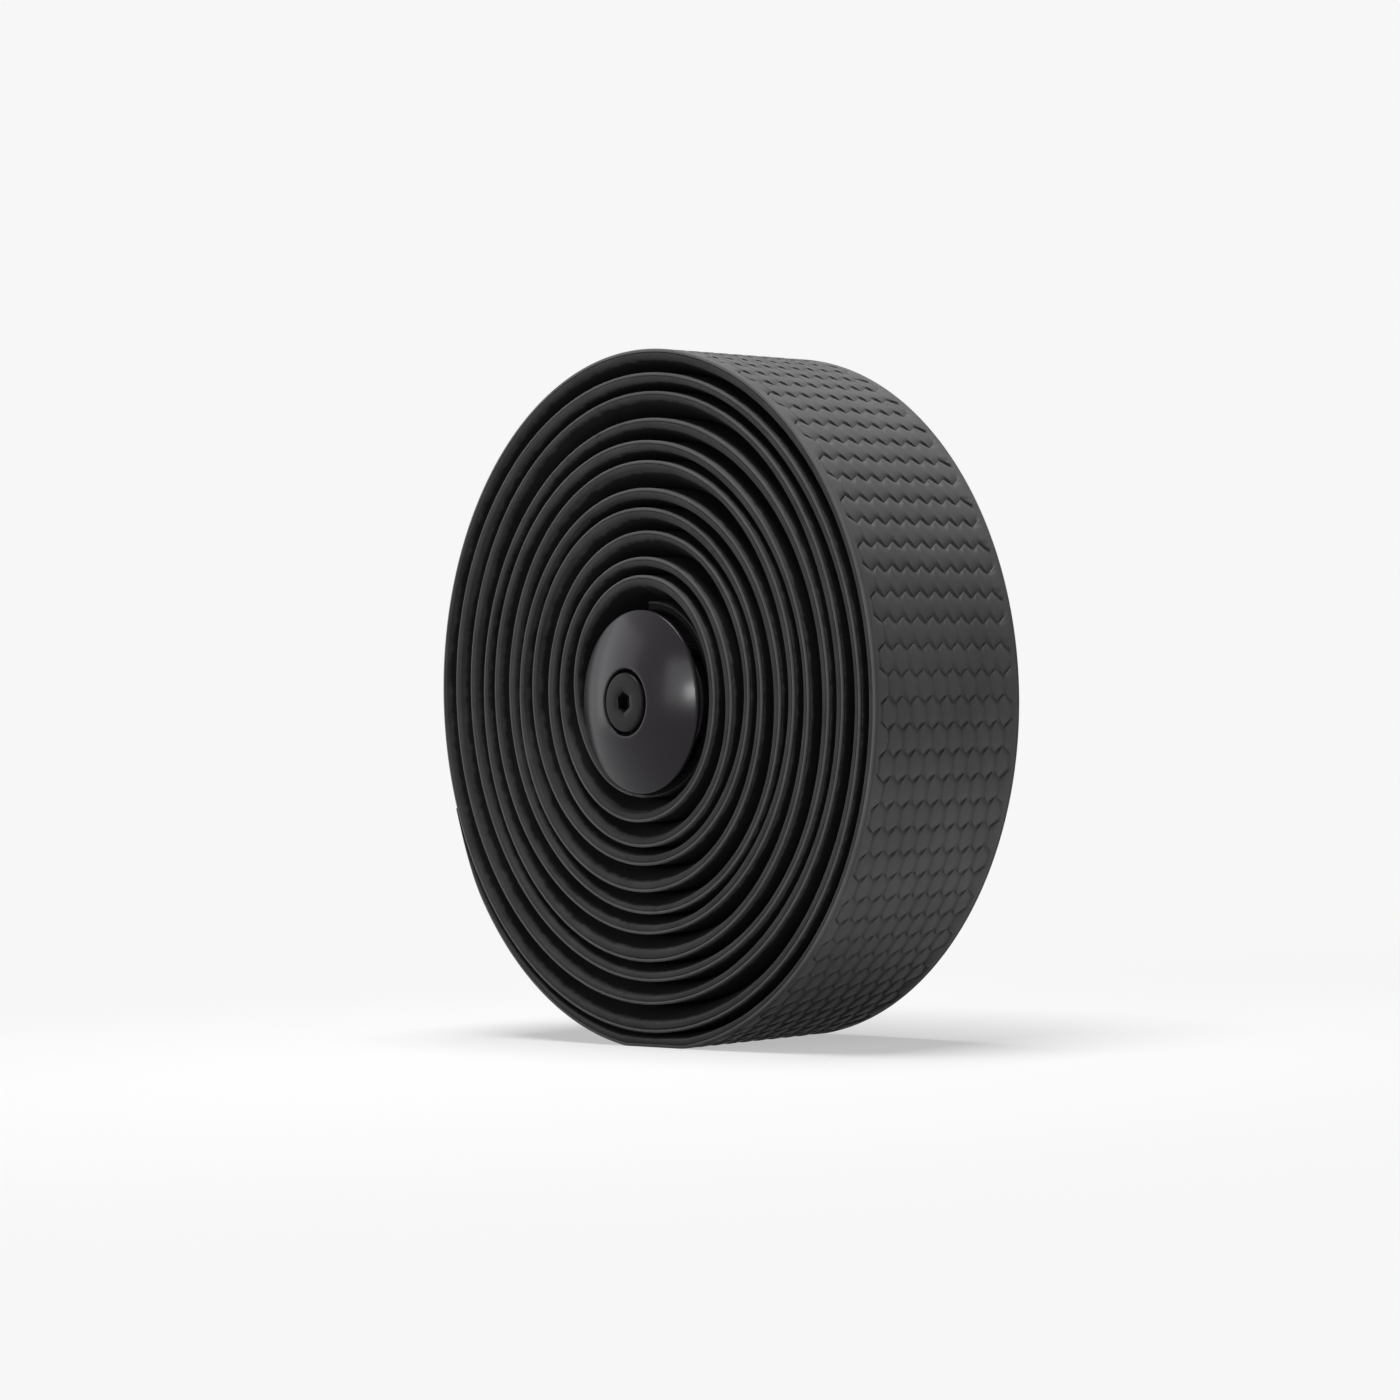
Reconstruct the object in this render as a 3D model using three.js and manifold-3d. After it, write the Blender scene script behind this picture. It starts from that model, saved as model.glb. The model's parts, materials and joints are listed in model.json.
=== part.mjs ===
// Roll of handlebar tape standing on its rim, with an expanding bar-end plug in its core.
// Millimetres, +Z up. The roll's axis runs along Y, the plug looks towards -Y, and the
// origin is the middle of the small flat on which the roll stands.

import * as THREE from 'three';
import { mergeVertices } from 'three/addons/utils/BufferGeometryUtils.js';
import Module from 'manifold-3d';

const wasm = await Module();
wasm.setup();

// Tape
const tapeWidth = 30;
const tapeThickness = 3.3;        // in the middle of its width
const tapeEdgeThickness = 1.7;    // at both edges
const edgeTaperWidth = 7;         // how far the back is bevelled in from each edge
const rollRadius = 56.3;          // of the outermost turn
const turnSlack = 0.38;           // each turn takes this much more than its thickness
const turnAirGap = 0.3;           // between the foam of one turn and the turn below
const coreRadius = 15.14;         // at which the even winding ends
const tailAngle = 197;            // degrees from +X towards +Z, where the tail ends
const flatLength = 15;            // of the flat that the soft roll stands on

const tailEndThickness = 0.4;     // of the tape's end, which is cut thin
const tailTaperTurns = 0.04;      // over which the tail comes down to the turn below

// The outermost turn stays round until just before the tail covers it, then the turns close in
const closeInStart = 0.7;         // in turns from the tail
const closeInEnd = 1.25;
const closeInLead = 0.505;        // turns that the even winding is ahead of the count
const coreOffset = 0.9;           // the inner turns sit this far off the outer one's centre
const coreOffsetAngle = 80;       // degrees, as tailAngle
const looseness = 0.4;            // how far the turns wander in and out
const loosenessTurns = 0.73;      // length of one such wave, in turns
const loosenessStart = 0.545;     // part of a wave at the tail

const turnPitch = tapeThickness + turnSlack;
const woundTurns = (rollRadius - coreRadius) / turnPitch + closeInLead;

// The inner end of the tape sits deeper in the core than the rest
const innerEndRecess = 2;
const recessTurns = 0.6;          // over this last part of the winding
const recessRampTurns = 0.24;

// Skin of the outermost turn, embossed with long hexagons in rows of nine and eight
const hexWidth = 3;               // across the tape
const hexMargin = 1.5;            // plain skin at each edge, at least
const hexColumns = Math.floor((tapeWidth - 2 * hexMargin) / hexWidth);
const hexRowLength = 4;           // from one row to the next, along the tape
const hexPointReach = 0.55;       // of a hexagon's points, past the middle of its end
const embossDepth = 0.35;

// Steps round the roll
const outerSteps = Math.round(2 * Math.PI * rollRadius / hexRowLength);
const innerSteps = 36;

// Bar-end plug
const capDiameter = 29.6;
const capDomeRise = 3.45;         // from the rim to the top of the dome
const capRimHeight = 0.7;         // straight part of the rim
const capAcross = 1.4;            // the plug lies off the roll's axis, to the right
const capLap = 0.9;               // how far its rim laps over the tape's innermost edge
const capSeatAngle = 262;         // degrees, where it does
const capEdgeRound = 0.35;

const screwDiameter = 4.9;
const screwHeadDiameter = 9.5;
const screwHeadHeight = 2.6;
const screwLength = 25.6;         // under the head
const threadPitch = 0.8;
const socketAcrossFlats = 3;
const socketDepth = 2;
const headRingGap = 0.75;         // dark ring between the head and its counterbore
const runningGap = 0.3;           // between pieces that touch or slide

const spigotDiameter = 12;
const spigotLength = 2.5;
const sleeveDiameter = 19.4;
const sleeveLength = 19;
const sleeveMouthWall = 1.2;      // wall left at the sleeve's open end
const sleeveConeLength = 7.6;
const sleeveSlots = 4;
const slotWidth = 1.6;
const slotLength = 14;
const sleeveRibs = 4;
const sleeveRibHeight = 0.35;
const sleeveRibStart = 4;         // plain length before the ribs
const sleeveRibEnd = 1;           // and after them
const ribLead = 0.4;              // from a rib's foot to its crest

const nutConeLength = 9;
const nutTravelTurns = 4;         // turns of the screw that draw the nut in
const nutStart = 5.7;             // of the nut's front, ahead of the sleeve's open end
const nutKeyReach = 9;            // radius of the two keys that ride in the slots

const degrees = Math.PI / 180;
const roundSteps = 36;

function smoothStep(from, to, value) {
  const t = Math.min(1, Math.max(0, (value - from) / (to - from)));
  return t * t * (3 - 2 * t);
}

// A closed solid from any geometry: shared corners are merged and the faces point out
function closedSolid(geometry) {
  const bare = geometry.index ? geometry.toNonIndexed() : geometry.clone();
  for (const name of Object.keys(bare.attributes)) {
    if (name !== 'position') bare.deleteAttribute(name);
  }
  const merged = mergeVertices(bare, 1e-4);
  const kept = [];
  const index = merged.index.array;
  for (let i = 0; i < index.length; i += 3) {
    const [a, b, c] = [index[i], index[i + 1], index[i + 2]];
    if (a !== b && b !== c && c !== a) kept.push(a, b, c);
  }
  if (volumeOf(merged.attributes.position.array, kept) < 0) kept.reverse();
  merged.setIndex(kept);
  return merged;
}

function volumeOf(points, index) {
  let six = 0;
  for (let i = 0; i < index.length; i += 3) {
    const [a, b, c] = [0, 1, 2].map((k) => new THREE.Vector3().fromArray(points, 3 * index[i + k]));
    six += a.dot(b.cross(c));
  }
  return six / 6;
}

function toManifold(geometry) {
  const solid = closedSolid(geometry);
  return new wasm.Manifold(new wasm.Mesh({
    numProp: 3,
    vertProperties: new Float32Array(solid.attributes.position.array),
    triVerts: new Uint32Array(solid.index.array),
  }));
}

function fromManifold(solid) {
  const mesh = solid.getMesh();
  const geometry = new THREE.BufferGeometry();
  geometry.setAttribute('position', new THREE.BufferAttribute(mesh.vertProperties, 3));
  geometry.setIndex(new THREE.BufferAttribute(mesh.triVerts, 1));
  return geometry;
}

// A piece turned about Y from [radius, y] pairs that start and end on the axis
// or, as a ring, come back to their first point
function turned(profile, steps = roundSteps) {
  return new THREE.LatheGeometry(profile.map(([r, y]) => new THREE.Vector2(r, y)), steps);
}

// Tape

// Radius of the tape's outer face as wound, by turns counted inwards from the tail
function woundRadius(turns) {
  const angle = tailAngle + 360 * turns;
  const closedIn = (turns - closeInLead) * smoothStep(closeInStart, closeInEnd, turns);
  const settled = smoothStep(closeInStart, closeInStart + 1, turns);
  const offCentre = coreOffset * Math.cos((angle - coreOffsetAngle) * degrees);
  const wander = looseness * Math.sin(2 * Math.PI * (turns / loosenessTurns + loosenessStart));
  return rollRadius - turnPitch * closedIn + settled * (offCentre + wander);
}

function outerRadius(turns) {
  const tailRadius = woundRadius(1) + turnAirGap + tailEndThickness;
  const down = Math.max(0, woundRadius(0) - tailRadius);
  return woundRadius(turns) - down * (1 - smoothStep(0, tailTaperTurns, turns));
}

// The roll's own weight presses a small flat into the outermost turn
const flatHeight = Math.sqrt(rollRadius ** 2 - (flatLength / 2) ** 2);

function pressedRadius(turns) {
  const fromBelow = Math.cos((tailAngle + 360 * turns + 90) * degrees);
  const free = outerRadius(turns);
  return turns < 1 && fromBelow > 0 ? Math.min(free, flatHeight / fromBelow) : free;
}

// The foam is as thick as the room down to the next turn lets it be
function middleThickness(turns) {
  const room = outerRadius(turns) - outerRadius(turns + 1) - turnAirGap;
  const squeezed = outerRadius(turns) - pressedRadius(turns);
  return Math.min(tapeThickness, room) - squeezed;
}

function backDepth(turns) {
  return turns + 1 < woundTurns ? middleThickness(turns) : tapeThickness;
}

function edgeThickness(turns) {
  return Math.min(tapeEdgeThickness, 0.6 * backDepth(turns));
}

// The back of the tape's section, as [depth below the outer face, place across]
function tapeBack(turns) {
  const half = tapeWidth / 2;
  const bevel = half - edgeTaperWidth;
  return [
    [edgeThickness(turns), half], [backDepth(turns), bevel],
    [backDepth(turns), -bevel], [edgeThickness(turns), -half],
  ];
}

function tapePoint(turns, [depth, across]) {
  const angle = (tailAngle + 360 * turns) * degrees;
  const radius = pressedRadius(turns) - depth;
  const recessStart = woundTurns - recessTurns;
  const back = innerEndRecess * smoothStep(recessStart, recessStart + recessRampTurns, turns);
  return [radius * Math.cos(angle), across + back, radius * Math.sin(angle)];
}

// Each station has a line across the outer face, either straight or, where hexagons end,
// a zigzag between two margins
const latticePoints = 2 * hexColumns + 1;

function acrossLattice(column) {
  return (column - hexColumns) * hexWidth / 2;
}

function isEmbossed(station) {
  const offFlat = Math.abs(((tailAngle + 360 * station / outerSteps + 90) % 360 + 180) % 360 - 180);
  const flatAngle = Math.asin(flatLength / 2 / rollRadius) / degrees;
  return station > 0 && station < outerSteps && offFlat > flatAngle + 360 / outerSteps;
}

function outerLine(station, turns) {
  const half = tapeWidth / 2;
  const line = [tapePoint(turns, [0, -half])];
  const depth = Math.min(embossDepth, 0.5 * edgeThickness(turns));
  const reach = hexPointReach / (2 * Math.PI * rollRadius);
  for (let column = 0; isEmbossed(station) && column < latticePoints; column++) {
    const side = (column + station) % 2 === 0 ? 1 : -1;
    line.push(tapePoint(turns + side * reach, [depth, acrossLattice(column)]));
  }
  line.push(tapePoint(turns, [0, half]));
  return line;
}

function tapeStations() {
  const stations = [];
  for (let i = 0; i < outerSteps; i++) stations.push(i / outerSteps);
  const rest = Math.floor((woundTurns - 1) * innerSteps);
  for (let i = 0; i <= rest; i++) stations.push(1 + i / innerSteps);
  if (woundTurns - stations[stations.length - 1] > 0.2 / innerSteps) stations.push(woundTurns);
  return stations;
}

// Triangles between two lines of points, each step going on along the line that is behind
function stitch(points, index, from, to) {
  let [i, j] = [0, 0];
  while (i + 1 < from.length || j + 1 < to.length) {
    const fromIsBehind = j + 1 === to.length
      || (i + 1 < from.length && points[from[i + 1]][1] <= points[to[j + 1]][1]);
    if (fromIsBehind) index.push(from[i], from[++i], to[j]);
    else index.push(from[i], to[j + 1], to[j++]);
  }
}

// One row of hexagons, each a low peak with its foot on the two zigzags, and its margins
function embossedRow(points, index, station, from, to) {
  const columns = station % 2 === 0 ? hexColumns : hexColumns - 1;
  const first = hexColumns - columns;
  stitch(points, index, from.slice(0, first + 2), to.slice(0, first + 2));
  for (let c = 0; c < columns; c++) {
    const middle = first + 1 + 2 * c;
    points.push(tapePoint((station + 0.5) / outerSteps, [0, acrossLattice(middle)]));
    const [near, far] = [from, to].map((line) => line.slice(middle, middle + 3));
    const rim = [...near, ...far.reverse()];
    rim.forEach((point, k) => index.push(point, rim[(k + 1) % rim.length], points.length - 1));
  }
  stitch(points, index, from.slice(-first - 2), to.slice(-first - 2));
}

function barTape() {
  const points = [];
  const index = [];
  const add = (list) => list.map((point) => points.push(point) - 1);
  const lines = tapeStations().map((turns, station) => ({
    outer: add(outerLine(station, turns)),
    back: add(tapeBack(turns).map((corner) => tapePoint(turns, corner))),
  }));
  for (let s = 0; s + 1 < lines.length; s++) {
    const [from, to] = [lines[s], lines[s + 1]];
    if (isEmbossed(s) && isEmbossed(s + 1)) embossedRow(points, index, s, from.outer, to.outer);
    else stitch(points, index, from.outer, to.outer);
    const [near, far] = [from, to].map(({ outer, back }) => [outer.at(-1), ...back, outer[0]]);
    for (let k = 0; k + 1 < near.length; k++) {
      index.push(near[k], near[k + 1], far[k + 1], near[k], far[k + 1], far[k]);
    }
  }
  const ends = [lines[0], lines.at(-1)].map(({ outer, back }) => [...outer, ...back]);
  for (let k = 1; k + 1 < ends[0].length; k++) {
    index.push(ends[0][0], ends[0][k + 1], ends[0][k]);
    index.push(ends[1][0], ends[1][k], ends[1][k + 1]);
  }
  const geometry = new THREE.BufferGeometry();
  geometry.setAttribute('position', new THREE.Float32BufferAttribute(points.flat(), 3));
  geometry.setIndex(index);
  return closedSolid(geometry);
}

// Plug, each piece turned about its own axis, with y = 0 at the tape's front edge

const capRadius = capDiameter / 2;
const capBack = -runningGap;
const rimFront = capBack - capRimHeight;
const domeRadius = (capRadius ** 2 + capDomeRise ** 2) / (2 * capDomeRise);
const headRadius = screwHeadDiameter / 2;
const counterboreRadius = headRadius + headRingGap;
const headFront = rimFront - capDomeRise + 0.15;
const headBack = headFront + screwHeadHeight;
const boreRadius = screwDiameter / 2 + runningGap;

function domeHeight(radius) {
  return rimFront - capDomeRise + domeRadius - Math.sqrt(domeRadius ** 2 - radius ** 2);
}

function plugCap() {
  const floor = headBack + runningGap;
  const profile = [];
  profile.push([boreRadius, capBack + spigotLength], [boreRadius, floor]);
  profile.push([counterboreRadius, floor], [counterboreRadius, domeHeight(counterboreRadius) + 0.25]);
  const domeSteps = 9;
  const domeEdge = capRadius - capEdgeRound;
  for (let i = 0; i <= domeSteps; i++) {
    const radius = counterboreRadius + 0.25 + (domeEdge - counterboreRadius - 0.25) * i / domeSteps;
    profile.push([radius, domeHeight(radius)]);
  }
  profile.push([capRadius, rimFront + 0.1], [capRadius, capBack - capEdgeRound / 2]);
  profile.push([capRadius - capEdgeRound / 2, capBack]);
  profile.push([spigotDiameter / 2, capBack], [spigotDiameter / 2, capBack + spigotLength]);
  profile.push(profile[0]);
  return closedSolid(turned(profile));
}

function plugScrew() {
  const shank = screwDiameter / 2;
  const tip = headBack + screwLength;
  const body = toManifold(turned([
    [0, headFront], [headRadius - 0.9, headFront], [headRadius - 0.3, headFront + 0.25],
    [headRadius, headFront + 0.9], [headRadius, headBack - 0.15], [headRadius - 0.15, headBack],
    [shank, headBack], [shank, tip - 0.6], [shank - 0.6, tip], [0, tip],
  ], 40));
  const corner = socketAcrossFlats / Math.sqrt(3);
  const socket = new THREE.CylinderGeometry(corner, corner, socketDepth * 2, 6);
  socket.translate(0, headFront, 0);
  return closedSolid(fromManifold(body.subtract(toManifold(socket))));
}

const sleeveFront = capBack + runningGap;
const sleeveBack = sleeveFront + sleeveLength;
const sleeveRadius = sleeveDiameter / 2;
const sleeveBore = spigotDiameter / 2 + runningGap;
const sleeveMouth = sleeveRadius - sleeveMouthWall;
const coneSlope = (sleeveMouth - sleeveBore) / sleeveConeLength;

function expanderSleeve() {
  const profile = [[sleeveBore, sleeveFront], [sleeveRadius - sleeveRibHeight, sleeveFront]];
  const ribSpan = (sleeveLength - sleeveRibStart - sleeveRibEnd) / sleeveRibs;
  for (let i = 0; i < sleeveRibs; i++) {
    const start = sleeveFront + sleeveRibStart + i * ribSpan;
    profile.push([sleeveRadius - sleeveRibHeight, start], [sleeveRadius, start + ribLead]);
    profile.push([sleeveRadius - sleeveRibHeight, start + ribSpan * 0.8]);
  }
  profile.push([sleeveRadius - sleeveRibHeight, sleeveBack], [sleeveMouth, sleeveBack]);
  profile.push([sleeveBore, sleeveBack - sleeveConeLength], [sleeveBore, sleeveFront]);
  let sleeve = toManifold(turned(profile));
  for (let i = 0; i < sleeveSlots / 2; i++) {
    const slot = new THREE.BoxGeometry(sleeveDiameter * 2, slotLength * 2, slotWidth);
    slot.rotateY((45 + i * 360 / sleeveSlots) * degrees);
    slot.translate(0, sleeveBack, 0);
    sleeve = sleeve.subtract(toManifold(slot));
  }
  return closedSolid(fromManifold(sleeve));
}

// The nut's cone keeps clear of the sleeve's until the screw has drawn it all the way in
const nutTravel = nutTravelTurns * threadPitch;
const nutFront = sleeveBack - nutStart;
const nutBack = nutFront + nutConeLength;

function nutRadius(y) {
  const sleeveThere = sleeveBore + coneSlope * (y - nutTravel - (sleeveBack - sleeveConeLength));
  return sleeveThere - runningGap / 2;
}

function wedgeNut() {
  const profile = [
    [boreRadius, nutFront], [nutRadius(nutFront), nutFront], [nutRadius(nutBack), nutBack],
    [boreRadius, nutBack], [boreRadius, nutFront],
  ];
  let nut = toManifold(turned(profile, 40));
  const keyLength = sleeveBack - nutFront;
  const keyInner = boreRadius + 1;
  for (const side of [-1, 1]) {
    const key = new THREE.BoxGeometry(nutKeyReach - keyInner, keyLength, slotWidth - 2 * runningGap);
    key.translate(side * (nutKeyReach + keyInner) / 2, nutFront + keyLength / 2, 0);
    key.rotateY(45 * degrees);
    nut = nut.add(toManifold(key));
  }
  return closedSolid(fromManifold(nut));
}

// Height of the plug's axis below the roll's, at which its rim laps over the innermost edge
function capDrop() {
  const lastFullTurn = Math.floor(woundTurns - (capSeatAngle - tailAngle) / 360);
  const turns = lastFullTurn + (capSeatAngle - tailAngle) / 360;
  const innerEdge = outerRadius(turns) - tapeEdgeThickness;
  const across = capAcross * Math.cos(capSeatAngle * degrees);
  return (innerEdge + capLap - capRadius - across) / -Math.sin(capSeatAngle * degrees);
}

// Assembly

function piece(name, geometry, color, roughness, metalness = 0) {
  const material = new THREE.MeshStandardMaterial({ color, roughness, metalness });
  const mesh = new THREE.Mesh(geometry, material);
  mesh.name = name;
  return mesh;
}

const group = new THREE.Group();
group.position.z = flatHeight;

group.add(piece('bar_tape', barTape(), 0x2b2b2c, 0.8));

const plug = new THREE.Group();
plug.position.set(capAcross, -tapeWidth / 2, -capDrop());
plug.add(piece('plug_cap', plugCap(), 0x1c1a1d, 0.2));
plug.add(piece('plug_screw', plugScrew(), 0x1a1a1b, 0.35, 0.8));
plug.add(piece('expander_sleeve', expanderSleeve(), 0x202020, 0.5));
plug.add(piece('wedge_nut', wedgeNut(), 0x242424, 0.45));
group.add(plug);

export default group;
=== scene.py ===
# Roll of embossed handlebar tape standing on its rim, with an expanding bar-end plug in
# its core. Shapes are worked out in millimetres and put into the meshes in metres.

import json
import math
import bmesh
import bpy
import numpy as np
from mathutils import Matrix, Vector


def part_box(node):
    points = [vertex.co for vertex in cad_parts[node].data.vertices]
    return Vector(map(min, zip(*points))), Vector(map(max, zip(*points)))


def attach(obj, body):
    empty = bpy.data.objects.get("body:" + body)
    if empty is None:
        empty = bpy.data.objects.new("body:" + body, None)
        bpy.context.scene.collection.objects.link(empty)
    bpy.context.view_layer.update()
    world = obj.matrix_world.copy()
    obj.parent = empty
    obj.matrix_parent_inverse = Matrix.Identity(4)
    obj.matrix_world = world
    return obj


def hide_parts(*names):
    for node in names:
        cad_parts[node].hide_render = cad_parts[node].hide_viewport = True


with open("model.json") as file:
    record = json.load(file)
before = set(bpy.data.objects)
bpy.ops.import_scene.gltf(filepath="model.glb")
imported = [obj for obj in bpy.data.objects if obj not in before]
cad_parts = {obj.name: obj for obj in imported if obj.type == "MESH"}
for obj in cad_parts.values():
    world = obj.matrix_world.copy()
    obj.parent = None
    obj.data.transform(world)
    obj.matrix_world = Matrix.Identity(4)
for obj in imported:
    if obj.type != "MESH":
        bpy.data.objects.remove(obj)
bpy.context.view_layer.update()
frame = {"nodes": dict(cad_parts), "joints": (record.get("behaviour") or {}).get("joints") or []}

MM = 0.001
TURN = 2 * math.pi

# Tape
TAPE_HALF_WIDTH = 15.0
TAPE_THICKNESS = 3.3
EDGE_THICKNESS = 1.45
EDGE_TAPER = 7.0
SKIN_THICKNESS = 0.5

# Winding, counted in turns inwards from the tail. Each turn takes some slack beyond the tape's
# thickness, and the foam ends just short of the turn below.
ROLL_RADIUS = 56.3
CORE_RADIUS = 15.14
TURN_SLACK = 0.38
TURN_PITCH = TAPE_THICKNESS + TURN_SLACK
FOAM_GAP = 0.03

# The flat that the soft roll stands on
FLAT_HALF = 7.5
FLAT_HEIGHT = math.sqrt(ROLL_RADIUS ** 2 - FLAT_HALF ** 2)

# The tail is cut thin, and comes down to the turn below over a small part of a turn
TAIL_ANGLE = 197.0
TAIL_END_THICKNESS = 0.12
TAIL_SKIN_SHARE = 0.2
TAIL_TAPER = 0.05

# Between which turns the winding closes in, and how far the even winding is ahead of the count
CLOSE_IN_START, CLOSE_IN_END, CLOSE_IN_LEAD = 0.7, 1.25, 0.505
WOUND_TURNS = (ROLL_RADIUS - CORE_RADIUS) / TURN_PITCH + CLOSE_IN_LEAD

# The inner turns sit off the outer one's centre, and wander in and out by a wave
CORE_OFFSET, CORE_OFFSET_ANGLE = 0.9, 80.0
LOOSENESS, LOOSENESS_TURNS, LOOSENESS_START = 0.4, 0.73, 0.545

# The last part of the winding lies deeper in the core, after a ramp
RECESS, RECESS_TURNS, RECESS_RAMP = 2.0, 0.6, 0.24

# Slow waves as (size, waves a turn, start): the tape's drift to its sides, which begins at the end
# of the outermost turn, and the unevenness of its thin edge as a share of it
DRIFT_WAVES = ((0.22, 0.83, 0.6), (0.1, 2.9, 2.1))
DRIFT_START, DRIFT_END = 0.8, 2.0
EDGE_WAVES = ((0.12, 1.7, 1.0), (0.07, 5.3, 0.0))

# Plug. The ring gap is between the screw's head and the counterbore. The thread eases away before
# the plain ends of the shank, and the tip is coned.
CAP_RADIUS = 14.8
DOME_RISE = 3.45
RIM_HEIGHT = 0.7
SPIGOT_RADIUS = 6.0
SPIGOT_LENGTH = 2.5
CAP_CHAMFER = 0.2
CAP_ROUNDING = 0.3
RING_GAP = 0.55
RUNNING_GAP = 0.3
HEAD_RADIUS = 4.75
HEAD_HEIGHT = 2.6
SOCKET_FLATS = 3.0
SOCKET_DEPTH = 2.0
SCREW_RADIUS = 2.45
THREAD_PITCH = 0.8
THREAD_DEPTH = 0.42
PLAIN_SHANK, PLAIN_TIP, THREAD_EASE = 1.0, 0.2, 0.8
TIP_CHAMFER, TIP_LENGTH = 0.45, 0.7


# Meshes

def add_piece(name, points, faces, material, body, nodes, sharp):
    """A closed piece from points in millimetres: doubles merged, faces out, smooth up to a sharp angle."""
    mesh = bpy.data.meshes.new(name)
    mesh.from_pydata((points * MM).tolist(), [], faces)
    work = bmesh.new()
    work.from_mesh(mesh)
    bmesh.ops.remove_doubles(work, verts=work.verts, dist=2e-6)
    bmesh.ops.recalc_face_normals(work, faces=work.faces)
    work.to_mesh(mesh)
    work.free()
    mesh.shade_smooth()
    mesh.set_sharp_from_angle(angle=math.radians(sharp))
    mesh.materials.append(material)
    piece = bpy.data.objects.new(name, mesh)
    bpy.context.scene.collection.objects.link(piece)
    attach(piece, body)
    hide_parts(*nodes)


def grid_faces(rows, columns, ring):
    """Quads of a rows by columns grid of points; with ring, its last column joins its first."""
    r = np.arange(rows - 1)[:, None]
    c = np.arange(columns if ring else columns - 1)[None, :]
    after = (c + 1) % columns
    quads = np.stack([r * columns + c, r * columns + after,
                      (r + 1) * columns + after, (r + 1) * columns + c], axis=-1)
    return quads.reshape(-1, 4).tolist()


def grid_patch(grid):
    """Points and quads of a grid of points."""
    return grid.reshape(-1, 3), grid_faces(grid.shape[0], grid.shape[1], False)


def joined(patches):
    """Several patches of (points, faces) as one: each one's faces count on from the points before."""
    counts = [len(points) for points, part in patches]
    starts = [sum(counts[:k]) for k in range(len(counts))]
    faces = [[i + start for i in face] for start, (points, part) in zip(starts, patches) for face in part]
    return np.concatenate([points for points, part in patches]), faces


def tube(name, rings, material, body, nodes, sharp):
    """A grid of rings, each closed on itself, with a flat cap on its first and last ring."""
    rows, columns = rings.shape[:2]
    faces = grid_faces(rows, columns, True)
    faces.append(list(range(columns)))
    faces.append(list(range((rows - 1) * columns, rows * columns)))
    add_piece(name, rings.reshape(-1, 3), faces, material, body, nodes, sharp)


def smooth_step(start, end, x):
    """0 before start and 1 after end, and between them three times the square of the way less
    twice its cube."""
    t = np.clip((x - start) / (end - start), 0, 1)
    return t * t * (3 - 2 * t)


def waves(turns, parts):
    """Sum of sine waves, each given by its size, its waves a turn and its start in radians."""
    return sum(size * np.sin(TURN * turns * rate + start) for size, rate, start in parts)


# Winding

def wound_radius(turns):
    """Radius of the tape's outer face: constant on the outermost turn, then one pitch less a turn,
    with the inner turns off centre and wandering in and out."""
    angle = np.radians(TAIL_ANGLE + 360 * turns)
    closed_in = (turns - CLOSE_IN_LEAD) * smooth_step(CLOSE_IN_START, CLOSE_IN_END, turns)
    settled = smooth_step(CLOSE_IN_START, CLOSE_IN_START + 1, turns)
    off_centre = CORE_OFFSET * np.cos(angle - math.radians(CORE_OFFSET_ANGLE))
    wander = LOOSENESS * np.sin(TURN * (turns / LOOSENESS_TURNS + LOOSENESS_START))
    return ROLL_RADIUS - TURN_PITCH * closed_in + settled * (off_centre + wander)


def turn_radius(turns):
    """As wound_radius, with the tail brought down to the turn below along a smooth step."""
    down = wound_radius(0) - (wound_radius(1) + FOAM_GAP + TAIL_END_THICKNESS)
    return wound_radius(turns) - down * (1 - smooth_step(0, TAIL_TAPER, turns))


def pressed_radius(turns):
    """As turn_radius, but the outermost turn goes no lower than the flat that the roll stands on,
    whose distance from the axis is its height over the cosine of the angle from straight below."""
    below = np.cos(np.radians(TAIL_ANGLE + 90 + 360 * turns))
    free = turn_radius(turns)
    pressed = np.minimum(free, FLAT_HEIGHT / np.maximum(below, 0.5))
    return np.where((turns < 1) & (below > 0.5), pressed, free)


def middle_thickness(turns):
    """The foam fills the room down to the next turn, and is at full thickness on the last turn."""
    room = turn_radius(turns) - turn_radius(turns + 1) - FOAM_GAP
    squeezed = turn_radius(turns) - pressed_radius(turns)
    return np.where(turns + 1 < WOUND_TURNS, room, TAPE_THICKNESS) - squeezed


def skin_share(turns):
    """Share of its full thickness that the skin has: thinned down at the tail along a smooth step."""
    return TAIL_SKIN_SHARE + (1 - TAIL_SKIN_SHARE) * smooth_step(0, TAIL_TAPER, turns)


def on_roll(turns, across, depth):
    """Points on the roll from turns, place across and depth below the outer face: the angle grows
    with the turns, the depth comes off the radius, and the place across is moved by the tape's
    drift and by the recess of its inner end."""
    angle = np.radians(TAIL_ANGLE + 360 * turns)
    radius = pressed_radius(turns) - depth
    start = WOUND_TURNS - RECESS_TURNS
    drift = waves(turns, DRIFT_WAVES) * smooth_step(DRIFT_START, DRIFT_END, turns)
    y = across + RECESS * smooth_step(start, start + RECESS_RAMP, turns) + drift
    return np.stack([radius * np.cos(angle), y, radius * np.sin(angle) + FLAT_HEIGHT], axis=-1)


# Embossed skin of the outermost turn

# Long hexagons in rows of nine and eight across the tape. Along the tape, SIDE_HALF is half the
# length of their sides and POINT_HALF half the way from point to point.
LONG_ROW = 9
COLUMN = 3.0
ROW = 4.0
SIDE_HALF = 1.45
POINT_HALF = 2.55
GROOVE_DEPTH = 0.43

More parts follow.
